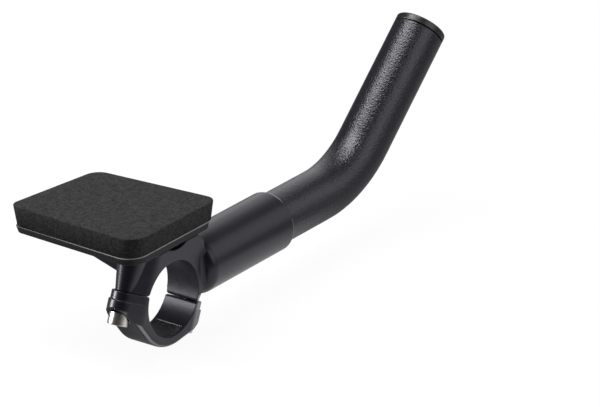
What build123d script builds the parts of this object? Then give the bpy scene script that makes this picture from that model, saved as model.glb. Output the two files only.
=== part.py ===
from build123d import *
import os
from math import acos, atan2, copysign, cos, hypot, radians, sin, sqrt, tan

# Short clip-on aero handlebar extension, left-hand unit, in millimetres.
# Origin at the middle of the handlebar clamp. X runs along the handlebar to the rider's right,
# Y forwards along the extension, Z up through the arm pad.

# Handlebar clamp
bar_diameter = 31.8
clamp_width = 16.0
ring_wall = 4.2
ring_edge_radius = 2.0
split_tilt = 24.5          # degrees, the split falls towards the front
split_gap = 0.3            # at the front, while the rear closes
rear_gap = 0.05
split_drop = 0.45          # middle of the gap below the middle of the bar
bore_lip_radius = 1.5      # rounded ends of the upper half at the split
cap_lip_chamfer = 0.6
grip_half_angle = 47.0     # degrees, patch at the bottom of the cap's bore
grip_width = 13.0
grip_depth = 0.3

# Clamp bolts, M5 socket head
bolt_diameter = 5.0
bolt_head_diameter = 8.5
bolt_head_height = 5.0
bolt_head_edge = 0.4
bolt_key = 4.0             # hexagon across flats
bolt_key_depth = 2.6
bolt_seat_depth = 8.8      # underside of the head below the middle of the bar
bolt_bite = 9.0            # thread above the middle of the bar
rear_bolt_wall = 3.6       # metal between the bar and each bolt
front_bolt_wall = 2.8
thread_clearance = 0.05
shank_clearance = 0.25
head_clearance = 0.5
thread_runout = 1.5

# Bosses around the clamp bolts
post_wall = 1.45
post_draft = 9.0           # degrees, the posts widen upwards
neck_step = 1.25
neck_height = 3.9          # from the middle of the bar
boss_wall = 1.0
boss_side_height = 7.2
lug_root_wall = 0.6        # metal outside the bar where a lug starts to narrow
lug_shoulder_radius = 8.0
plan_excess = 0.1          # the cap is cut from a plan this much wider than the clamp

# Bracket body, seat and wing
seat_rise = 1.4
web_wall = 4.6
web_top_chamfer = 3.5
seat_dip_depth = 1.4
seat_dip_width = 11.0
seat_dip_centre = 4.0
wing_root_depth = 8.1
wing_tip_depth = 1.8
wing_margin = 3.9          # metal beside each plate screw
wing_end = 9.35            # metal outboard of the plate screws
wing_corner_radius = 6.0
wing_edge_radius = 1.2
bar_relief = 1.4

# Tube socket
tube_height = 5.05
socket_wall = 1.7
socket_depth = 44.7
socket_floor_wall = 2.5
socket_lap = 1.5
shoulder_land = 0.85       # flat of the socket's end beside the web
foot_cover = 0.35          # how far the socket's shoulder passes the web's foot
crease_radius = 2.0
socket_mouth_radius = 1.2
bond_gap = 0.05

# Extension tube and its plug
tube_diameter = 22.2
tube_wall = 2.0
tube_run_out = 31.8        # straight from the socket's mouth to the bend
bend_radius = 50.7
bend_angle = 41.5
grip_length = 54.0
tube_end_chamfer = 0.2
plug_gap = 0.45            # shadow gap between the tube's end and the flange
plug_gap_depth = 0.9
plug_flange = 2.95
plug_flange_radius = 0.7
plug_stem = 18.0
plug_stem_lead = 1.5
plug_wall = 2.0
plug_fit = 0.05
plug_button_diameter = 14.0
plug_button_height = 1.3
plug_button_radius = 0.9

# Arm rest: a plate and a foam pad of the same four-sided outline
rest_offset = 20.65        # middle of the rest, outboard of the clamp
rest_forward = 0.33        # and forward of it
rest_length = 63.2
rest_width = 49.55
front_skew = 3.9           # degrees that each side departs from the square
rear_skew = 2.2
outboard_skew = 8.5
corner_radii = (2.6, 8.0, 4.6, 6.5)
pad_thickness = 9.5
pad_edge_radius = 0.5
pad_draw = 0.1             # how far the pad's sides draw in towards the plate
pad_rear_draw = 1.2
pad_inboard_draw = 2.6
plate_thickness = 3.4
plate_draw = 0.5           # how far the plate's sides draw in below the pad
plate_rear_draw = 0.85
plate_inboard_draw = 0.35
plate_edge_radius = 0.8
plate_rim_radius = 0.35
seam_lip = 0.15            # how far the plate's rim stands proud of the pad
tray_rim = 3.0
patch_margin = 0.4
hook_thickness = 0.7
loop_thickness = 0.5

# Plate screws, M4 countersunk
screw_diameter = 4.0
screw_head_diameter = 7.5
screw_length = 6.0
screw_spacing = 22.6
screw_key = 2.5
screw_key_depth = 1.4
screw_point_chamfer = 0.5
screw_clearance = 0.15

# Worked out from the above
bar_radius = bar_diameter / 2
ring_radius = bar_radius + ring_wall
bolt_radius = bolt_diameter / 2
rear_bolt = -(bar_radius + bolt_radius + rear_bolt_wall)
front_bolt = bar_radius + bolt_radius + front_bolt_wall
lug_root = bar_radius + lug_root_wall
post_radius = bolt_radius + post_wall
neck_radius = post_radius + neck_step
counterbore_radius = bolt_head_diameter / 2 + head_clearance
boss_radius = counterbore_radius + boss_wall
bracket_face = split_gap / 2 - split_drop
front_face = bracket_face - split_gap
rear_face = bracket_face - rear_gap
thread_hole_radius = bolt_radius + thread_clearance
thread_hole_depth = bolt_bite + thread_runout
tilt_cos = cos(radians(split_tilt))
tilt_sin = sin(radians(split_tilt))
seat_height = ring_radius + seat_rise
web_front = bar_radius + web_wall
tube_radius = tube_diameter / 2
tube_bore_radius = tube_radius - tube_wall
socket_bore_radius = tube_radius + bond_gap
socket_radius = socket_bore_radius + socket_wall
socket_rear = web_front - socket_lap
side_x = clamp_width / 2
shoulder_radius = socket_radius - side_x - shoulder_land
shoulder_reach = side_x + shoulder_land + sqrt(shoulder_radius**2 - (shoulder_radius - socket_lap) ** 2)
web_foot = tube_height - sqrt(shoulder_reach**2 - side_x**2) + foot_cover
thread_hole_front = front_bolt * tilt_cos + thread_hole_depth * tilt_sin + thread_hole_radius
socket_floor = thread_hole_front + socket_floor_wall
socket_mouth = socket_floor + socket_depth
bend_start = socket_mouth + tube_run_out
tray_depth = hook_thickness + loop_thickness
plate_top = seat_height + plate_thickness
tray_floor = plate_top - tray_depth
pad_top = plate_top + pad_thickness
screw_radius = screw_diameter / 2
screw_hole_radius = screw_radius + thread_clearance
screw_head_height = (screw_head_diameter - screw_diameter) / 2
screw_places = [(-rest_offset, side * screw_spacing / 2) for side in (-1, 1)]
body_side = lug_root - clamp_width / 4
wing_half_width = screw_spacing / 2 + wing_margin
wing_tip = rest_offset + wing_end

# Planes of the clamp: its split, and its profile seen along the handlebar
split_plane = Plane((0, 0, 0), x_dir=(0, tilt_cos, -tilt_sin), z_dir=(0, tilt_sin, tilt_cos))
profile_plane = Plane((0, 0, 0), x_dir=(0, tilt_cos, -tilt_sin), z_dir=(1, 0, 0))
tube_axis = Axis((0, 0, tube_height), (0, 1, 0))
bolt_places = [(rear_bolt, 0), (front_bolt, 0)]


def clamp_to_side(along, above):
    """Turns a place in the clamp's profile into the Y and Z of the side view."""
    return (along * tilt_cos + above * tilt_sin, above * tilt_cos - along * tilt_sin)


def lug_plan(bolt, radius, width):
    """Plan of one lug: full width at its root, rounded shoulders, round about its bolt."""
    root = copysign(lug_root, bolt)
    with BuildSketch() as lug:
        with Locations((bolt, 0)):
            Circle(radius)
        with Locations((copysign(body_side, bolt), 0)):
            Rectangle(2 * (lug_root - body_side), width)
        make_hull()
        shoulders = [lug.vertices().sort_by_distance((root, edge))[0] for edge in (-width / 2, width / 2)]
        fillet(shoulders, lug_shoulder_radius)
    return lug.sketch


def boss_profile(bolt):
    """Outer face of a boss, and the point where its underside runs into the ring, in the clamp's profile."""
    reach = abs(bolt) + boss_radius
    angle = atan2(boss_side_height, reach) + acos(ring_radius / hypot(reach, boss_side_height))
    return copysign(reach, bolt), (copysign(ring_radius * cos(angle), bolt), -ring_radius * sin(angle))


def rest_corners(rear, front, inboard, outboard):
    """Corners of the rest's outline, with each side moved in by its own amount."""
    rear_slope, front_slope = -tan(radians(rear_skew)), tan(radians(front_skew))
    side_slope = tan(radians(outboard_skew))
    rear_y, front_y = rear - rest_width / 2, rest_width / 2 - front
    outboard_x, inboard_x = outboard - rest_length / 2, rest_length / 2 - inboard

    def outboard_corner(end_y, end_slope):
        x = (outboard_x + side_slope * end_y) / (1 - side_slope * end_slope)
        return (x - rest_offset, end_y + end_slope * x + rest_forward)

    def inboard_corner(end_y, end_slope):
        return (inboard_x - rest_offset, end_y + end_slope * inboard_x + rest_forward)

    return [
        outboard_corner(rear_y, rear_slope),
        inboard_corner(rear_y, rear_slope),
        inboard_corner(front_y, front_slope),
        outboard_corner(front_y, front_slope),
    ]


def rest_outline(corners, inset=0.0):
    """Face inside the corners, rounded by the rest's radii less an inset."""
    with BuildLine() as outline:
        FilletPolyline(*corners, radius=[max(r - inset, r / 4) for r in corner_radii], close=True)
    make_face(outline.edges())


pad_top_corners = rest_corners(0, 0, 0, 0)
seam_insets = [pad_rear_draw, pad_draw, pad_inboard_draw, pad_draw]
seam_corners = rest_corners(*seam_insets)
pad_foot_corners = rest_corners(*[seam + seam_lip for seam in seam_insets])
plate_draws = [plate_rear_draw, plate_draw, plate_inboard_draw, plate_draw]
plate_foot_corners = rest_corners(*[seam + draw for seam, draw in zip(seam_insets, plate_draws)])
tray_corners = rest_corners(*[seam + tray_rim for seam in seam_insets])
patch_corners = rest_corners(*[seam + tray_rim + patch_margin for seam in seam_insets])

# Plan of the cap: slim necks under the split, wider bosses around the bolt heads
plan_width = clamp_width + plan_excess
with BuildPart() as cap_plan:
    for radius, top, height in ((neck_radius, 0, neck_height), (boss_radius, -neck_height, 2 * ring_radius)):
        for bolt in (rear_bolt, front_bolt):
            with BuildSketch(split_plane.offset(top)):
                add(lug_plan(bolt, radius, plan_width))
            extrude(amount=-height)
        with BuildSketch(split_plane.offset(top)):
            Rectangle(2 * body_side, plan_width)
        extrude(amount=-height)

# Clamp cap: lower half of the clamp
rear_reach, rear_tangent = boss_profile(rear_bolt)
front_reach, front_tangent = boss_profile(front_bolt)
with BuildPart() as clamp_cap:
    with BuildSketch(profile_plane):
        with BuildLine():
            Polyline(rear_tangent, (rear_reach, -boss_side_height), (rear_reach, 0),
                     (front_reach, 0), (front_reach, -boss_side_height), front_tangent)
            ThreePointArc(front_tangent, (0, -ring_radius), rear_tangent)
        make_face()
    extrude(amount=side_x, both=True)
    outer_edges = clamp_cap.faces().filter_by(Axis.X).edges().filter_by(
        lambda edge: profile_plane.to_local_coords(edge @ 0.5).Y < -boss_side_height
    )
    fillet(outer_edges, ring_edge_radius)
    add(cap_plan.part, mode=Mode.INTERSECT)
    with BuildSketch(profile_plane) as cap_space:
        Circle(bar_radius)
        Polygon((2 * rear_reach, rear_face), (rear_reach, rear_face), (front_reach, front_face),
                (2 * front_reach, front_face), (2 * front_reach, ring_radius),
                (2 * rear_reach, ring_radius), align=None)
        chamfer(cap_space.vertices().filter_by(lambda vertex: abs(vertex.X) < ring_radius), cap_lip_chamfer)
    extrude(amount=clamp_width, both=True, mode=Mode.SUBTRACT)
    with BuildSketch(profile_plane):
        Circle(bar_radius + grip_depth)
        half_chord = ring_radius * tan(radians(grip_half_angle))
        Polygon((0, 0), (-half_chord, -ring_radius), (half_chord, -ring_radius),
                align=None, mode=Mode.INTERSECT)
    extrude(amount=grip_width / 2, both=True, mode=Mode.SUBTRACT)
    with BuildSketch(split_plane.offset(-bolt_seat_depth)):
        with Locations(*bolt_places):
            Circle(counterbore_radius)
    extrude(amount=-2 * ring_radius, mode=Mode.SUBTRACT)
    with BuildSketch(split_plane):
        with Locations(*bolt_places):
            Circle(bolt_radius + shank_clearance)
    extrude(amount=-bolt_seat_depth, mode=Mode.SUBTRACT)
clamp_cap.part.label = "clamp_cap"

# Wing that carries the outboard part of the rest
with BuildPart() as wing:
    with BuildSketch(Plane.XZ):
        wing_root = -side_x
        wing_underside = seat_height - wing_root_depth
        Polygon((0, seat_height), (-wing_tip, seat_height), (-wing_tip, seat_height - wing_tip_depth),
                (wing_root, wing_underside), (0, wing_underside), align=None)
    extrude(amount=wing_half_width, both=True)
    fillet(wing.edges().filter_by(Axis.Z).group_by(Axis.X)[0], wing_corner_radius)
    slope_middle = (-(wing_tip + side_x) / 2, 0, seat_height - (wing_root_depth + wing_tip_depth) / 2)
    sloped_face = wing.faces().sort_by_distance(slope_middle)[0]
    fillet(sloped_face.edges().filter_by(Axis.Y, reverse=True), wing_edge_radius)

# Bracket: upper clamp half, posts, seat, wing and tube socket in one casting
with BuildPart() as bracket:
    seat_rear = clamp_to_side(-body_side, (seat_height - body_side * tilt_sin) / tilt_cos)
    with BuildSketch(Plane.YZ):
        Polygon(clamp_to_side(-body_side, bracket_face), seat_rear,
                (web_front - web_top_chamfer, seat_height), (web_front, seat_height - web_top_chamfer),
                (web_front, web_foot), clamp_to_side(body_side, bracket_face), align=None)
    extrude(amount=side_x, both=True)
    for bolt, height in ((rear_bolt, 2 * seat_height), (front_bolt, thread_hole_depth)):
        with BuildSketch(split_plane.offset(bracket_face)):
            add(lug_plan(bolt, post_radius, clamp_width))
        extrude(amount=height)
        with BuildSketch(split_plane.offset(bracket_face)):
            with Locations((bolt, 0)):
                Circle(post_radius)
        extrude(amount=height, taper=-post_draft)
    split(bisect_by=Plane.XY.offset(seat_height), keep=Keep.BOTTOM)
    with BuildSketch(Plane.YZ) as socket_section:
        with Locations(((socket_rear + socket_mouth) / 2, tube_height)):
            Rectangle(socket_mouth - socket_rear, socket_radius, align=(Align.CENTER, Align.MIN))
        fillet(socket_section.vertices().group_by(Axis.Y)[-1].sort_by(Axis.X)[0], shoulder_radius)
        fillet(socket_section.vertices().group_by(Axis.Y)[-1].sort_by(Axis.X)[-1], socket_mouth_radius)
    revolve(axis=tube_axis)
    add(wing.part)
    # Soft crease where the socket leaves the flat sides
    side_creases = bracket.faces().filter_by(Axis.X).edges().filter_by(
        lambda edge: abs((edge @ 0.5).Y - socket_rear) < socket_lap / 2
        and abs((edge @ 0.5).Z - tube_height) < socket_radius
    )
    fillet(side_creases, crease_radius)
    # Bar space, with rounded lips at the split, and a little more room under the wing
    with BuildSketch(profile_plane) as bar_space:
        Circle(bar_radius)
        with Locations((0, bracket_face)):
            Rectangle(2 * ring_radius, 2 * bar_radius, align=(Align.CENTER, Align.MAX))
        lips = bar_space.vertices().filter_by(lambda vertex: abs(vertex.X) < ring_radius).group_by(Axis.Y)[-1]
        fillet(lips, bore_lip_radius)
    extrude(amount=side_x, both=True, mode=Mode.SUBTRACT)
    with BuildSketch(profile_plane.offset(-side_x)):
        Circle(bar_radius + bar_relief)
    extrude(amount=-wing_tip, mode=Mode.SUBTRACT)
    # Dip across the seat, between the two screws
    dip_radius = (seat_dip_width**2 / 4 + seat_dip_depth**2) / (2 * seat_dip_depth)
    with BuildSketch(Plane.YZ):
        with Locations((seat_dip_centre, seat_height - seat_dip_depth + dip_radius)):
            Circle(dip_radius)
    extrude(amount=2 * wing_tip, both=True, mode=Mode.SUBTRACT)
    with BuildSketch(Plane.XZ.offset(-socket_mouth)):
        with Locations((0, tube_height)):
            Circle(socket_bore_radius)
    extrude(amount=socket_depth, mode=Mode.SUBTRACT)
    with BuildSketch(split_plane.offset(bracket_face)):
        with Locations(*bolt_places):
            Circle(thread_hole_radius)
    extrude(amount=thread_hole_depth - bracket_face, mode=Mode.SUBTRACT)
    with BuildSketch(Plane.XY.offset(seat_height)):
        with Locations(*screw_places):
            Circle(screw_hole_radius)
    extrude(amount=-wing_root_depth, mode=Mode.SUBTRACT)
bracket.part.label = "bracket"

# Clamp bolts, heads under the cap
with BuildPart() as clamp_bolts:
    with BuildSketch(split_plane.offset(-bolt_seat_depth)):
        with Locations(*bolt_places):
            Circle(bolt_radius)
    extrude(amount=bolt_seat_depth + bolt_bite)
    with BuildSketch(split_plane.offset(-bolt_seat_depth)):
        with Locations(*bolt_places):
            Circle(bolt_head_diameter / 2)
    extrude(amount=-bolt_head_height)
    head_rims = clamp_bolts.edges().filter_by(GeomType.CIRCLE).filter_by(
        lambda edge: split_plane.to_local_coords(edge.arc_center).Z < -bolt_seat_depth - bolt_head_height / 2
    )
    fillet(head_rims, bolt_head_edge)
    with BuildSketch(split_plane.offset(-bolt_seat_depth - bolt_head_height)):
        with Locations(*bolt_places):
            RegularPolygon(bolt_key / 2, 6, major_radius=False)
    extrude(amount=bolt_key_depth, mode=Mode.SUBTRACT)
clamp_bolts.part.label = "clamp_bolts"

# Extension tube: straight from the socket's floor, one upward bend, straight grip
with BuildPart() as extension_tube:
    with BuildLine(Plane.YZ) as tube_route:
        run_out = Line((socket_floor, tube_height), (bend_start, tube_height))
        bend = JernArc(run_out @ 1, run_out % 1, bend_radius, bend_angle)
        PolarLine(bend @ 1, grip_length, direction=bend % 1)
    with BuildSketch(Plane.XZ.offset(-socket_floor)):
        with Locations((0, tube_height)):
            Circle(tube_radius)
            Circle(tube_bore_radius, mode=Mode.SUBTRACT)
    sweep(path=tube_route.wires()[0])
    grip_end = tube_route.wires()[0] @ 1
    grip_direction = tube_route.wires()[0] % 1
    end_rim = extension_tube.edges().filter_by(GeomType.CIRCLE).sort_by_distance(grip_end)
    fillet_rims = [edge for edge in end_rim[:2] if edge.radius > (tube_radius + tube_bore_radius) / 2]
    chamfer(fillet_rims, tube_end_chamfer)
extension_tube.part.label = "extension_tube"

# End plug: hollow stem in the tube, flange behind a shadow gap, low button on the face
plug_plane = Plane(grip_end, x_dir=(1, 0, 0), z_dir=grip_direction)
stem_radius = tube_bore_radius - plug_fit
with BuildPart() as end_plug:
    with BuildSketch(plug_plane.offset(plug_gap)):
        Circle(tube_radius)
    extrude(amount=plug_flange)
    flange_rims = end_plug.edges().filter_by(GeomType.CIRCLE).sort_by_distance(grip_end)
    fillet(flange_rims[0], tube_end_chamfer)
    fillet(end_plug.edges().filter_by(GeomType.CIRCLE).sort_by_distance(grip_end)[-1], plug_flange_radius)
    with BuildSketch(plug_plane):
        Circle(tube_radius - plug_gap_depth)
    extrude(amount=plug_gap)
    with BuildSketch(plug_plane.offset(plug_gap + plug_flange)):
        Circle(plug_button_diameter / 2)
    extrude(amount=plug_button_height)
    button_rim = end_plug.edges().filter_by(GeomType.CIRCLE).sort_by(
        lambda edge: plug_plane.to_local_coords(edge.arc_center).Z)[-1]
    fillet(button_rim, plug_button_radius)
    with BuildSketch(plug_plane):
        Circle(stem_radius)
    extrude(amount=-plug_stem)
    stem_rim = end_plug.edges().filter_by(GeomType.CIRCLE).sort_by(
        lambda edge: plug_plane.to_local_coords(edge.arc_center).Z)[0]
    chamfer(stem_rim, plug_stem_lead, plug_stem_lead / 3)
    with BuildSketch(plug_plane.offset(-plug_stem)):
        Circle(stem_radius - plug_wall)
    extrude(amount=plug_stem, mode=Mode.SUBTRACT)
end_plug.part.label = "end_plug"

# Arm-rest plate: drawn-in sides, a tray for the fastening patches and two countersunk holes
with BuildPart() as armrest_plate:
    with BuildSketch(Plane.XY.offset(seat_height)):
        rest_outline(plate_foot_corners)
    with BuildSketch(Plane.XY.offset(plate_top)):
        rest_outline(seam_corners)
    loft(ruled=True)
    fillet(armrest_plate.faces().sort_by(Axis.Z)[0].edges(), plate_edge_radius)
    fillet(armrest_plate.faces().sort_by(Axis.Z)[-1].edges(), plate_rim_radius)
    with BuildSketch(Plane.XY.offset(plate_top)):
        rest_outline(tray_corners, tray_rim)
    extrude(amount=-tray_depth, mode=Mode.SUBTRACT)
    with Locations(*[(x, y, tray_floor) for x, y in screw_places]):
        CounterSinkHole(screw_radius + screw_clearance, screw_head_diameter / 2 + thread_clearance,
                        counter_sink_angle=90)
armrest_plate.part.label = "armrest_plate"

# Plate screws
with BuildPart() as plate_screws:
    with Locations(*[(x, y, tray_floor) for x, y in screw_places]):
        Cylinder(screw_radius, screw_length, align=(Align.CENTER, Align.CENTER, Align.MAX))
        Cone(screw_radius, screw_head_diameter / 2, screw_head_height,
             align=(Align.CENTER, Align.CENTER, Align.MAX))
    chamfer(plate_screws.edges().group_by(Axis.Z)[0], screw_point_chamfer)
    with BuildSketch(Plane.XY.offset(tray_floor)):
        with Locations(*screw_places):
            RegularPolygon(screw_key / 2, 6, major_radius=False)
    extrude(amount=-screw_key_depth, mode=Mode.SUBTRACT)
plate_screws.part.label = "plate_screws"

# Hook-and-loop patches in the tray
with BuildPart() as hook_patch:
    with BuildSketch(Plane.XY.offset(tray_floor)):
        rest_outline(patch_corners, tray_rim + patch_margin)
    extrude(amount=hook_thickness)
hook_patch.part.label = "hook_patch"

with BuildPart() as loop_patch:
    with BuildSketch(Plane.XY.offset(tray_floor + hook_thickness)):
        rest_outline(patch_corners, tray_rim + patch_margin)
    extrude(amount=loop_thickness)
loop_patch.part.label = "loop_patch"

# Foam arm pad
with BuildPart() as arm_pad:
    with BuildSketch(Plane.XY.offset(plate_top)):
        rest_outline(pad_foot_corners)
    with BuildSketch(Plane.XY.offset(pad_top)):
        rest_outline(pad_top_corners)
    loft(ruled=True)
    fillet(arm_pad.faces().sort_by(Axis.Z)[-1].edges(), pad_edge_radius)
arm_pad.part.label = "arm_pad"

os.makedirs("parts", exist_ok=True)
for piece in (arm_pad, loop_patch, hook_patch, armrest_plate, plate_screws,
              bracket, clamp_cap, clamp_bolts, extension_tube, end_plug):
    export_step(piece.part, f"parts/{piece.part.label}.step")
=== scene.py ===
import bpy, bmesh, math
from mathutils import Matrix, Vector


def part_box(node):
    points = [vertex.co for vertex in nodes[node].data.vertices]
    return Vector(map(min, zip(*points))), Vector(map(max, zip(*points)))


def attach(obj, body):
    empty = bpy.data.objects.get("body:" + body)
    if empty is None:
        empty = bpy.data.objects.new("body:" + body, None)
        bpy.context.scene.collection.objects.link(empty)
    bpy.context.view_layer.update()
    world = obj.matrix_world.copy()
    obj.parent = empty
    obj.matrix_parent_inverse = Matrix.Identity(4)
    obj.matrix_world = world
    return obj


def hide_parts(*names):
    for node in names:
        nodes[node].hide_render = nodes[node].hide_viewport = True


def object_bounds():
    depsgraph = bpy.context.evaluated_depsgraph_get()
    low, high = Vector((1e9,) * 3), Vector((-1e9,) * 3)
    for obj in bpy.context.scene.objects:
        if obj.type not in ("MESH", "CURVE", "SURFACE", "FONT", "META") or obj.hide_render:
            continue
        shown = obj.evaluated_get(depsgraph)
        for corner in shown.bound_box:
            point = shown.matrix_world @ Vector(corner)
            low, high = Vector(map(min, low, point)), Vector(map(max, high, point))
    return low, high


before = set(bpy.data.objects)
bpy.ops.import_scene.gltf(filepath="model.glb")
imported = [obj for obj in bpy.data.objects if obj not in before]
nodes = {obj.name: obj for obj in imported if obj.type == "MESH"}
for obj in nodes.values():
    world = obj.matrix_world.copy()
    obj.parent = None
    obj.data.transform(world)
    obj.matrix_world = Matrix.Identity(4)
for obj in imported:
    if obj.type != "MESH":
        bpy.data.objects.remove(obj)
cadLow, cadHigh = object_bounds()
scene = bpy.context.scene
mm = 0.001
print("frame loaded:", ", ".join(sorted(nodes)))


def metres(sizes):                            # a few sizes given in millimetres
    return [size * mm for size in sizes]


class Sock:                                   # a shader socket that takes part in sums
    def __init__(self, finish, socket):
        self.finish, self.socket = finish, socket

    def calc(self, operation, *values):
        return self.finish.node("ShaderNodeMath", {"operation": operation}, dict(enumerate(values)))[0]

    def __add__(self, other): return self.calc("ADD", self, other)
    def __radd__(self, other): return self.calc("ADD", other, self)
    def __sub__(self, other): return self.calc("SUBTRACT", self, other)
    def __rsub__(self, other): return self.calc("SUBTRACT", other, self)
    def __mul__(self, other): return self.calc("MULTIPLY", self, other)
    def __rmul__(self, other): return self.calc("MULTIPLY", other, self)
    def __pow__(self, other): return self.calc("POWER", self, other)
    def most(self, other): return self.calc("MAXIMUM", self, other)
    def clamp(self): return self.finish.node("ShaderNodeClamp", {}, {0: self})[0]
    def contrast(self, gain, lift): return (self * gain + lift).clamp()
    def between(self, low, high): return low + self * (high - low)
    def wave(self, pitch): return self.calc("SINE", self * (2 * math.pi / (pitch * mm)))

    def ramp(self, low, high):                # 0 below low, 1 above high, smooth between
        return self.finish.node("ShaderNodeMapRange", {"interpolation_type": "SMOOTHSTEP"},
                                {0: self, 1: low, 2: high})[0]


class Finish:                                 # a material, or the world's, and the nodes in it
    def __init__(self, name, world=False):
        self.owner = (bpy.data.worlds if world else bpy.data.materials).new(name)
        self.owner.use_nodes = True
        self.tree = self.owner.node_tree
        self.shader = self.tree.nodes["Background" if world else "Principled BSDF"]
        self.coordinates = self.node("ShaderNodeTexCoord")
        self.place = self.coordinates[3]      # Object coordinates

    def node(self, kind, settings=None, inputs=None):
        made = self.tree.nodes.new(kind)
        for key, value in (settings or {}).items():
            setattr(made, key, value)
        self.feed(made, inputs or {})
        return [Sock(self, out) for out in made.outputs]

    def feed(self, node, inputs):
        for key, value in inputs.items():
            if isinstance(value, Sock):
                self.tree.links.new(value.socket, node.inputs[key])
            else:
                node.inputs[key].default_value = value

    def noise(self, size, detail, roughness=0.5, place=None):
        return self.node("ShaderNodeTexNoise", {}, {"Vector": place or self.place, "Scale": 1 / (size * mm),
                                                    "Detail": detail, "Roughness": roughness})[0]

    def cells(self, size, feature="F1"):
        return self.node("ShaderNodeTexVoronoi", {"feature": feature},
                         {"Vector": self.place, "Scale": 1 / (size * mm)})[0]

    def blend(self, share, first, second):    # colours given as numbers or as a socket
        first, second = [c if isinstance(c, Sock) else (*c, 1) for c in (first, second)]
        return self.node("ShaderNodeMix", {"data_type": "RGBA"}, {0: share, 6: first, 7: second})[2]

    def turned(self, degrees):                # place turned about the handlebar's axis
        return self.node("ShaderNodeMapping", {"vector_type": "TEXTURE"},
                         {0: self.place, 2: (math.radians(degrees), 0, 0)})[0]

    def split(self, vector):
        return self.node("ShaderNodeSeparateXYZ", {}, {0: vector})

    def measure(self, operation, first, second):
        return self.node("ShaderNodeVectorMath", {"operation": operation}, {0: first, 1: second})[1]

    def facing(self):                         # the surface's normal
        return self.node("ShaderNodeNewGeometry")[1]

    def broken(self, radius, samples=8):      # the normal with the edges broken, in millimetres
        return self.node("ShaderNodeBevel", {"samples": samples}, {"Radius": radius * mm})[0]

    def edges(self, width, low, high):        # 1 along edges, 0 on open faces
        return (1 - self.measure("DOT_PRODUCT", self.broken(width), self.facing())).ramp(low, high)

    def relief(self, height, distance, strength, edge=0.0):
        inputs = {"Height": height, "Distance": distance * mm, "Strength": strength}
        if edge:
            inputs["Normal"] = self.broken(edge)
        return self.node("ShaderNodeBump", {}, inputs)[0]

    def coat(self, colour, rough, normal=None, gloss=0.5, metal=0.0, tint=(1, 1, 1)):
        self.feed(self.shader, {"Base Color": colour, "Roughness": rough, "Metallic": metal,
                                "Specular IOR Level": gloss, "Specular Tint": (*tint, 1)})
        if normal:
            self.feed(self.shader, {"Normal": normal})
        return self.owner


# finishes, in millimetres: a noise has size, detail and roughness, a relief depth, strength and broken edge
foamLook = dict(dark=(0.0152, 0.0152, 0.0152), light=(0.042, 0.042, 0.042), gloss=0.05, rough=(0.95, 0.87),
                cell=0.75, grain=(1.125, 3.0, 0.65), mottle=(2.6, 2.0), shares=(0.5, 1.7, 0.8), lift=0.2,
                bumps=(0.6, 0.9), relief=(0.5, 0.6))
def foamFinish():
    look, f = foamLook, Finish("foam")
    cell, grain, mottle = f.cells(look["cell"]), f.noise(*look["grain"]), f.noise(*look["mottle"])
    ofCell, ofGrain, ofMottle = look["shares"]
    tone = (cell * ofCell + (grain - 0.5) * ofGrain + (mottle - 0.5) * ofMottle + look["lift"]).clamp()
    cellBump, grainBump = look["bumps"]
    return f.coat(f.blend(tone, look["dark"], look["light"]), tone.between(*look["rough"]),
                  f.relief(cell * cellBump + grain * grainBump, *look["relief"]), look["gloss"])

anodisedLook = dict(dark=(0.005, 0.0047, 0.0076), light=(0.0085, 0.008, 0.0118), tint=(0.9, 0.895, 1.0),
                    gloss=0.42, rough=(0.23, 0.31), blastRough=0.06, tilt=24.5,
                    blast=(0.16, 2.0, 0.6), patch=(14.0, 3.0), smear=(2.4, 4.0, 0.7),
                    relief=(0.03, 0.35, 0.6),
                    boreEdge=(15.95, 16.05), boreSmear=(1.8, -0.4), boreRough=(0.02, 0.16),
                    boreShadedCap=(0.008, 0.0078, 0.0105), boreLitBracket=(0.032, 0.0315, 0.036),
                    splitFade=(-0.4, 0.4),
                    rubbedSheen=(0.05, 0.05, 0.054), rubSheenEdge=(0.36, 0.03, 0.25), rubSheenPatch=(1.6, -0.3),
                    paintedGlint=(0.3, 0.3, 0.31), rimBack=0.95, rimWidth=0.26, rimCore=0.2,
                    rimTop=(15.0, 16.2), rimLow=(8.0, 10.0), rimLowShare=0.4,
                    capTurn=(0.3, 0.55), capSide=(0.8, 0.95), capReach=(18.6, 19.0), capDrop=(-8.2, -7.2),
                    capShare=0.8)
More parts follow.
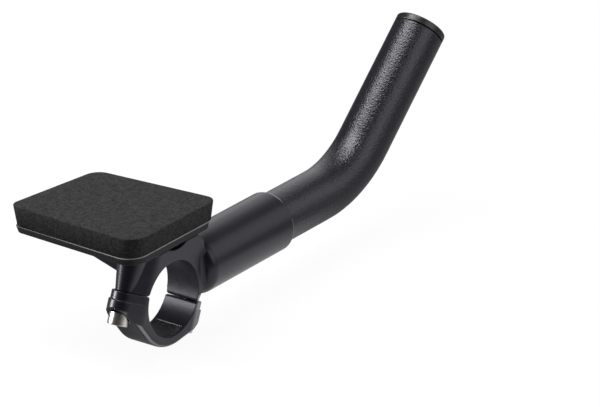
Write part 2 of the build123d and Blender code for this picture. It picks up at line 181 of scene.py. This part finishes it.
def anodisedFinish():
    look, f = anodisedLook, Finish("blackAnodised")
    blast, patch, smear = [f.noise(*look[key]) for key in ("blast", "patch", "smear")]
    y, z = f.split(f.place)[1:]
    radius = (y * y + z * z) ** 0.5
    rise = f.split(f.turned(-look["tilt"]))[2]                        # height above the clamp's split
    inside = 1 - radius.ramp(*metres(look["boreEdge"]))
    # painted reflection: the bore wall is lighter in the bracket half than in the cap half
    paintedBoreLight = f.blend(rise.ramp(*metres(look["splitFade"])), look["boreShadedCap"], look["boreLitBracket"])
    skin = f.blend(patch, look["dark"], look["light"])
    skin = f.blend(inside * smear.contrast(*look["boreSmear"]), skin, paintedBoreLight)
    # edges lighter in patches: edge wear, and partly a painted edge highlight
    wearAndSheen = f.edges(*look["rubSheenEdge"]) * patch.contrast(*look["rubSheenPatch"])
    skin = f.blend(wearAndSheen, skin, look["rubbedSheen"])
    fromRim = y - (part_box("bracket")[1][1] - look["rimBack"] * mm)    # painted highlight: bright line round the socket's end, kept to its top and bottom
    span = (look["rimWidth"] * mm) ** 2
    rimGlint = z.ramp(*metres(look["rimTop"])) + (1 - z.ramp(*metres(look["rimLow"]))) * look["rimLowShare"]
    paintedGlint = rimGlint - rimGlint * (fromRim * fromRim).ramp(look["rimCore"] * span, span)
    across = f.split(f.facing())[0]
    side = across.calc("ABSOLUTE", across)
    capGlint = side.ramp(*look["capTurn"]) * (1 - side.ramp(*look["capSide"]))     # painted highlight on the cap's lower edges, as bare metal
    capGlint = capGlint * radius.ramp(*metres(look["capReach"])) * (1 - rise.ramp(*metres(look["capDrop"])))
    paintedGlint = paintedGlint.most(capGlint * look["capShare"])
    rough = patch.between(*look["rough"]) + blast * look["blastRough"]
    rough = rough + inside * smear.between(*look["boreRough"])
    return f.coat(f.blend(paintedGlint, skin, look["paintedGlint"]), rough, f.relief(blast, *look["relief"]),
                  look["gloss"], paintedGlint, look["tint"])

ribLook = dict(valley=(0.0045, 0.0043, 0.0062), crest=(0.075, 0.075, 0.08), radii=(15.98, 16.12),
               crestWearAndGlint=(2.0, 3.0, 0.6), crestGlintContrast=(1.6, -0.2), rough=(0.34, 0.46), gloss=0.4)
def ribFinish():
    look, f = ribLook, Finish("gripRibs")
    y, z = f.split(f.place)[1:]
    proud = 1 - ((y * y + z * z) ** 0.5).ramp(*metres(look["radii"]))
    crestWearAndGlint = f.noise(*look["crestWearAndGlint"])
    # raised crests lighter in patches: wear, and partly a painted highlight
    return f.coat(f.blend(proud * crestWearAndGlint.contrast(*look["crestGlintContrast"]), look["valley"], look["crest"]),
                  crestWearAndGlint.between(*look["rough"]), gloss=look["gloss"])

powderLook = dict(dark=(0.0036, 0.0033, 0.0056), light=(0.0125, 0.0118, 0.0168), tint=(0.925, 0.91, 0.985),
                  gloss=0.55, rough=(0.25, 0.33), grain=(0.64, 1.5, 0.5), lump=0.8, cloud=(11.0, 2.0),
                  shares=(1.6, 0.3), lift=-0.45, lumpBump=0.4, relief=(0.3, 0.57, 0.25))
def powderFinish():
    look, f = powderLook, Finish("powderCoat")
    grain, cloud = f.noise(*look["grain"]), f.noise(*look["cloud"])
    lump = f.cells(look["lump"], "SMOOTH_F1")
    ofGrain, ofCloud = look["shares"]
    tone = (grain * ofGrain + cloud * ofCloud + look["lift"]).clamp()
    return f.coat(f.blend(tone, look["dark"], look["light"]), grain.between(*look["rough"]),
                  f.relief(grain + lump * look["lumpBump"], *look["relief"]),
                  look["gloss"], tint=look["tint"])

plateLook = dict(dark=(0.0115, 0.0112, 0.0138), light=(0.0195, 0.0192, 0.0224), gloss=0.16, rough=(0.5, 0.64),
                 grain=(0.3, 2.0, 0.6), flow=(9.0, 2.0), grainShare=0.5, relief=(0.05, 0.4, 0.26),
                 rubbedSheen=(0.26, 0.26, 0.264), seam=(0.3, 0.46), foot=(0.2, 0.5), footShare=0.25,
                 inboard=(-46, 2), inboardSheen=(0.3, 1.0), flowSheen=(0.6, 1.2))
def plateFinish():
    look, f = plateLook, Finish("platePlastic")
    grain, flow = f.noise(*look["grain"]), f.noise(*look["flow"])
    tone = grain * look["grainShare"] + flow * (1 - look["grainShare"])
    skin = f.blend(tone.clamp(), look["dark"], look["light"])
    low, high = [corner.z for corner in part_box("armrest_plate")]
    place = f.split(f.place)
    across, height = place[0], place[2]
    seam = 1 - (high - height).ramp(*metres(look["seam"]))            # painted highlight on the rim against the foam
    foot = 1 - (height - low).ramp(*metres(look["foot"]))             # painted highlight on the lower edge
    sideSheen = across.ramp(*metres(look["inboard"])).between(*look["inboardSheen"])     # painted highlight, brightest inboard
    # painted highlight along the rim and foot, given as wear and broken up by the flow noise
    wearAndSheen = seam.most(foot * look["footShare"]) * sideSheen * flow.between(*look["flowSheen"])
    return f.coat(f.blend(wearAndSheen, skin, look["rubbedSheen"]), grain.between(*look["rough"]),
                  f.relief(grain, *look["relief"]), look["gloss"])

plugLook = dict(dark=(0.007, 0.007, 0.0073), light=(0.013, 0.013, 0.0132), flow=(5.0, 3.0), fine=(0.35, 2.0),
                rough=(0.26, 0.38), relief=(0.02, 0.4, 0.25))
def plugFinish():
    look, f = plugLook, Finish("plugPlastic")
    flow, fine = f.noise(*look["flow"]), f.noise(*look["fine"])
    return f.coat(f.blend(flow, look["dark"], look["light"]), fine.between(*look["rough"]),
                  f.relief(fine, *look["relief"]))

boltLook = dict(dark=(0.42, 0.405, 0.38), light=(0.66, 0.64, 0.61), tilt=24.5, pitch=0.8, shank=(-8.8, -8.5),
                ring=(0.25, 2.0, 0.5), cloud=(1.6, 2.0), ringShare=0.6, threadBump=0.5, ringBump=0.06,
                relief=(0.3, 0.6, 0.2), rough=(0.2, 0.36))
def boltFinish():
    look, f = boltLook, Finish("brightSteel")
    along = f.split(f.turned(-look["tilt"]))[2]                       # up the bolts
    ring = f.noise(*look["ring"], f.node("ShaderNodeCombineXYZ", {}, {2: along})[0])
    cloud = f.noise(*look["cloud"])
    tone = (ring * look["ringShare"] + cloud * (1 - look["ringShare"])).clamp()
    thread = along.wave(look["pitch"]) * along.ramp(*metres(look["shank"]))
    return f.coat(f.blend(tone, look["dark"], look["light"]), ring.between(*look["rough"]),
                  f.relief(thread * look["threadBump"] + ring * look["ringBump"], *look["relief"]), metal=1.0)

screwLook = dict(dark=(0.03, 0.03, 0.032), light=(0.075, 0.075, 0.078), rough=(0.32, 0.47), metal=0.85,
                 pitch=0.7, head=21.9, cloud=(0.8, 3.0), relief=(0.25, 0.6, 0.15))
def screwFinish():
    look, f = screwLook, Finish("darkSteel")
    along = f.split(f.place)[2]
    thread = along.wave(look["pitch"]) * along.calc("LESS_THAN", along, look["head"] * mm)
    cloud = f.noise(*look["cloud"])
    return f.coat(f.blend(cloud, look["dark"], look["light"]), cloud.between(*look["rough"]),
                  f.relief(thread, *look["relief"]), metal=look["metal"])

tapeLook = dict(dark=(0.008, 0.008, 0.0085), light=(0.03, 0.03, 0.031), gloss=0.2, rough=0.95, loops=0.5,
                hooks=1.3, fuzzSize=0.4, fuzz=(3.0, 0.65), shares=(0.6, 0.5), fuzzBump=0.6, relief=(0.3, 0.7))
def tapeFinish(name, pile):
    look, f = tapeLook, Finish(name)
    tuft, fuzz = f.cells(pile), f.noise(pile * look["fuzzSize"], *look["fuzz"])
    ofTuft, ofFuzz = look["shares"]
    tone = (tuft * ofTuft + fuzz * ofFuzz).clamp()
    return f.coat(f.blend(tone, look["dark"], look["light"]), look["rough"],
                  f.relief(tuft + fuzz * look["fuzzBump"], *look["relief"]), look["gloss"])

ribbed = ribFinish()
finishes = dict(arm_pad=foamFinish(), bracket=anodisedFinish(), extension_tube=powderFinish(),
                armrest_plate=plateFinish(), end_plug=plugFinish(), clamp_bolts=boltFinish(),
                plate_screws=screwFinish(), loop_patch=tapeFinish("loopPile", tapeLook["loops"]),
                hook_patch=tapeFinish("hookTape", tapeLook["hooks"]))
finishes["clamp_cap"] = finishes["bracket"]
for name, finish in finishes.items():
    nodes[name].data.materials.clear()
    nodes[name].data.materials.append(finish)
print("finishes:", len(set(finishes.values())) + 1)


def addPiece(name, bm, finish, slot, *stands, smooth=True, closed=True):
    bmesh.ops.remove_doubles(bm, verts=bm.verts, dist=1e-7)
    if closed:                                # an open sheet keeps the side it was laid with
        bmesh.ops.recalc_face_normals(bm, faces=bm.faces)
    mesh = bpy.data.meshes.new(name)
    bm.to_mesh(mesh)
    bm.free()
    piece = bpy.data.objects.new(name, mesh)
    scene.collection.objects.link(piece)
    mesh.materials.append(finish)
    for face in mesh.polygons:
        face.use_smooth = smooth
    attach(piece, "root")
    if stands:
        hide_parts(*stands)
    return piece


# foam pad: four-sided block, drawn in towards the plate, with a crisp rim and a low crown
foamPad = dict(foot=[(-55.302, -21.764), (8.2, -24.203), (8.2, 28.7), (-48.62, 24.3)],
               crest=[(-55.751, -23.097), (10.95, -25.659), (10.95, 27.259), (-48.835, 23.184)],
               bottom=24.9, top=34.4, corners=(3.4, 8.0, 4.9, 6.8), cornerCuts=10, rim=0.6, rimCuts=4,
               lidArea=100, crown=0.15,       # each ring's shrinking and its share of the crown
               crownRings=((0.88, 0.4), (0.8, 0.3), (0.7, 0.2), (0.5, 0.1)))
def makePad():
    p = foamPad
    bm = bmesh.new()
    low = [bm.verts.new((x * mm, y * mm, p["bottom"] * mm)) for x, y in p["foot"]]
    base = bm.faces.new(low)
    grown = bmesh.ops.extrude_face_region(bm, geom=[base], use_keep_orig=True)["geom"]
    high = sorted((v for v in grown if isinstance(v, bmesh.types.BMVert)),
                  key=lambda v: min(range(4), key=lambda k: (v.co - low[k].co).length))
    for vert, (x, y) in zip(high, p["crest"]):
        vert.co = (x * mm, y * mm, (p["top"] - p["crown"]) * mm)
    uprights = [next(e for e in a.link_edges if e.other_vert(a) is b) for a, b in zip(low, high)]
    turns = [(high[k - 1].co - high[k].co).angle(high[(k + 1) % 4].co - high[k].co) for k in range(4)]
    for edge, radius, turn in zip(uprights, p["corners"], turns):
        bmesh.ops.bevel(bm, geom=[edge], offset=radius / math.tan(turn / 2) * mm, affect="EDGES",
                        segments=p["cornerCuts"], profile=0.5, material=-1)
    bmesh.ops.recalc_face_normals(bm, faces=bm.faces)
    lid = max(bm.faces, key=lambda face: face.calc_center_median().z)
    bmesh.ops.bevel(bm, geom=list(lid.edges), offset=p["rim"] * mm, affect="EDGES",
                    segments=p["rimCuts"], profile=0.5, material=-1)
    broad = [face for face in bm.faces if face.calc_area() > p["lidArea"] * mm * mm]
    lid = max(broad, key=lambda face: face.calc_center_median().z)
    middle = lid.calc_center_median()
    for shrink, rise in p["crownRings"]:
        under, grown = lid, bmesh.ops.extrude_face_region(bm, geom=[lid])["geom"]
        lid = next(g for g in grown if isinstance(g, bmesh.types.BMFace))
        bmesh.ops.delete(bm, geom=[under], context="FACES_ONLY")       # the extrusion leaves it inside
        bmesh.ops.scale(bm, vec=(shrink, shrink, 1), space=Matrix.Translation(-middle), verts=lid.verts)
        bmesh.ops.translate(bm, vec=(0, 0, rise * p["crown"] * mm), verts=lid.verts)
    return addPiece("foamPad", bm, finishes["arm_pad"], "pad_foam", "arm_pad")

pad = makePad()
print("foam pad:", len(pad.data.polygons), "faces")


# knurled grip patch in the cap's bore
knurl = dict(radius=16.18, height=0.24, halfAngle=46.4, width=12.9, pitch=1.0, cut=0.12, tilt=24.5)
def makeKnurl():
    k = knurl
    halfAngle, tilt = math.radians(k["halfAngle"]), math.radians(k["tilt"])
    columns = 2 * round(k["width"] / k["pitch"])
    rows = 2 * round(2 * halfAngle * k["radius"] / k["pitch"])
    bm = bmesh.new()
    bmesh.ops.create_grid(bm, x_segments=columns, y_segments=rows, size=1.0)
    for vert in bm.verts:                     # the flat grid is laid into the bore, every second line raised
        column, row = round((vert.co.x + 1) * columns / 2), round((vert.co.y + 1) * rows / 2)
        angle = vert.co.y * halfAngle
        proud = k["height"] if row % 2 else k["height"] - k["cut"]
        radius = k["radius"] - (proud if column % 2 and 0 < row < rows else 0)
        along, above = radius * math.sin(angle), -radius * math.cos(angle)
        vert.co = (vert.co.x * k["width"] / 2 * mm, (along * math.cos(tilt) + above * math.sin(tilt)) * mm,
                   (above * math.cos(tilt) - along * math.sin(tilt)) * mm)
    return addPiece("gripKnurl", bm, ribbed, "black_anodised", smooth=False, closed=False)

grip = makeKnurl()
print("grip knurl:", len(grip.data.polygons), "faces")


# stage: pale floor, pale boards in a darker room, softboxes; places and fades in metres
room = dict(gap=0.05, floorReach=6.0, floorRough=0.9, floorGloss=0.1,
            floorPale=0.74, floorDark=0.09, floorSeen=0.935, floorShine=0.69,
            sheet=(0.07, 0.04), sheetFade=(0.06, 0.12),
            apron=(0.2, 0.35), apronFade=(0.2, 0.6), apronShine=0.25,
            shade=(-0.008, -0.004), shadeFade=(0.016, 0.024), shadeShare=0.8,
            dark=0.05, boards=[dict(face=(-0.5, 0.82, 0.3), edge=(0.84, 0.95), level=1.1),
                               dict(face=(0.88, 0.02, 0.46), edge=(0.88, 0.97), level=1.62),
                               dict(face=(0.56, 0.73, 0.39), edge=(0.90, 0.985), level=0.95),
                               dict(face=(0.34, 0.94, 0.0), edge=(0.3, 0.8), level=0.2)])
def makeFloor():
    bm = bmesh.new()
    bmesh.ops.create_grid(bm, x_segments=1, y_segments=1, size=room["floorReach"])
    mesh = bpy.data.meshes.new("floor")
    bm.to_mesh(mesh)
    bm.free()
    mesh.transform(Matrix.Translation((0, 0, cadLow[2] - room["gap"] * mm)))
    floor = bpy.data.objects.new("floor", mesh)
    scene.collection.objects.link(floor)
    f = Finish("floorPaper")
    patches = []
    for spot in ("sheet", "apron", "shade"):
        away = f.measure("DISTANCE", f.place, (*room[spot], cadLow[2]))
        patches.append(1 - away.ramp(*room[spot + "Fade"]))
    sheet, apron, shade = patches             # pale paper below and ahead; painted shadow right under the clamp, in the glow that reflections see
    path = f.node("ShaderNodeLightPath")
    seen, mirrored = path[0], path[3].most(path[6])     # camera rays, glossy and transmission rays
    f.coat(f.blend(sheet.most(seen), (room["floorDark"],) * 3, (room["floorPale"],) * 3),
           room["floorRough"], gloss=room["floorGloss"])
    # the floor glows to reflections over the sheet and the apron: painted reflection of lit paper
    shine = (sheet * room["floorShine"]).most(apron * room["apronShine"])
    pale = seen * room["floorSeen"] + mirrored * (1 - seen) * shine * (1 - shade * room["shadeShare"])
    glow = f.node("ShaderNodeEmission", {}, {0: (1, 1, 1, 1), 1: 1.0})[0]
    mixed = f.node("ShaderNodeMixShader", {}, {0: pale, 1: Sock(f, f.shader.outputs[0]), 2: glow})[0]
    f.feed(f.tree.nodes["Material Output"], {0: mixed})
    mesh.materials.append(f.owner)

def makeRoom():
    f = Finish("studio", world=True)
    scene.world = f.owner
    level = room["dark"]
    for board in room["boards"]:              # pale boards standing round the object
        toward = f.measure("DOT_PRODUCT", f.coordinates[0], Vector(board["face"]).normalized())
        level = level + toward.ramp(*board["edge"]) * board["level"]
    seen = f.node("ShaderNodeLightPath")[0]   # white to the camera
    f.feed(f.shader, {"Color": (1, 1, 1, 1), "Strength": level + seen * (1 - level)})

softboxes = dict(
    top=dict(place=(-0.23, -0.03, 1.2), aim=(-0.05, 0.04, 0.0), size=(0.48, 1.02), power=16.8, mirrored=True),
    left=dict(place=(-0.91, -0.71, 0.32), aim=(0.0, 0.0, 0.0), size=(0.34, 0.62), power=19.0, mirrored=True),
    fill=dict(place=(0.76, 0.42, 0.17), aim=(0.0, 0.0, 0.02), size=(0.5, 0.4), power=2.4, mirrored=False))
def makeLights():
    for name, box in softboxes.items():
        lamp = bpy.data.lights.new(name, "AREA")
        lamp.shape, lamp.size, lamp.size_y = "RECTANGLE", *box["size"]
        lamp.energy = box["power"]
        light = bpy.data.objects.new(name, lamp)
        light.visible_glossy = box["mirrored"]
        light.location = box["place"]
        light.rotation_euler = (Vector(box["place"]) - Vector(box["aim"])).to_track_quat("Z", "Y").to_euler()
        scene.collection.objects.link(light)

makeFloor()
makeRoom()
makeLights()
scene.view_settings.view_transform = "Standard"
print("stage set")


# camera at the photograph's place, in millimetres
view = dict(place=(940.95, -1123.45, 663.84), right=(0.7984, 0.6014, -0.0292), up=(-0.2153, 0.3306, 0.9189),
            back=(0.5623, -0.7274, 0.3934), lens=243.12, sensor=36.0, farthest=50)       # farthest in metres
lensData = bpy.data.cameras.new("camera")
lensData.sensor_fit, lensData.sensor_width, lensData.lens = "HORIZONTAL", view["sensor"], view["lens"]
lensData.clip_end = view["farthest"]
camera = bpy.data.objects.new("camera", lensData)
turn = Matrix((view["right"], view["up"], view["back"])).transposed().to_quaternion()
camera.matrix_world = Matrix.Translation(Vector(view["place"]) * mm) @ turn.to_matrix().to_4x4()
scene.collection.objects.link(camera)
scene.camera = camera
print("camera set")
